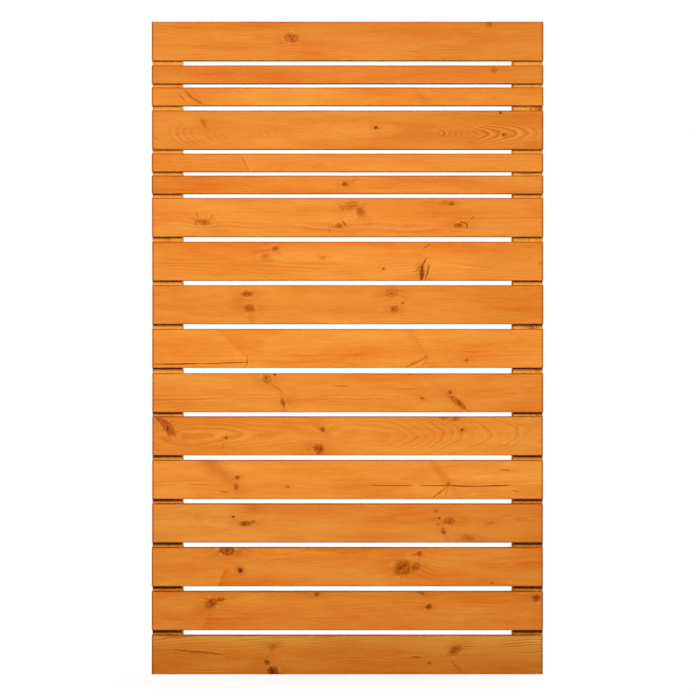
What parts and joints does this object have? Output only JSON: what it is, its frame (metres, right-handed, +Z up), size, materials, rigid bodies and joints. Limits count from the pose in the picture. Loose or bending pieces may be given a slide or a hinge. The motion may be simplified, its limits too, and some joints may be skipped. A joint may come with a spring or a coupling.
{
  "type": "garden privacy screen",
  "caption": "Flat upright timber screen of horizontal boards in two widths with narrow gaps, held by an upright batten behind each side.",
  "frame": {"origin": "on the ground, under the middle of the screen's width and of its depth", "axes": "+Z up along the battens, +X along the boards to the right as seen from the front, fronts of the boards towards -Y"},
  "size_m": [0.9, 0.063, 1.5],
  "materials": {
    "boards": "honey-orange translucent stain on planed softwood, matt",
    "battens": "honey-orange translucent stain on planed softwood, matt",
    "screws": "yellow-passivated zinc"
  },
  "bodies": {
    "root": {"board_01": "boards", "board_02": "boards", "board_03": "boards", "board_04": "boards", "board_05": "boards", "board_06": "boards", "board_07": "boards", "board_08": "boards", "board_09": "boards", "board_10": "boards", "board_11": "boards", "board_12": "boards", "board_13": "boards", "board_14": "boards", "board_15": "boards", "board_16": "boards", "board_17": "boards", "batten_left": "battens", "batten_right": "battens", "screws_left": "screws", "screws_right": "screws"}
  },
  "joints": []
}
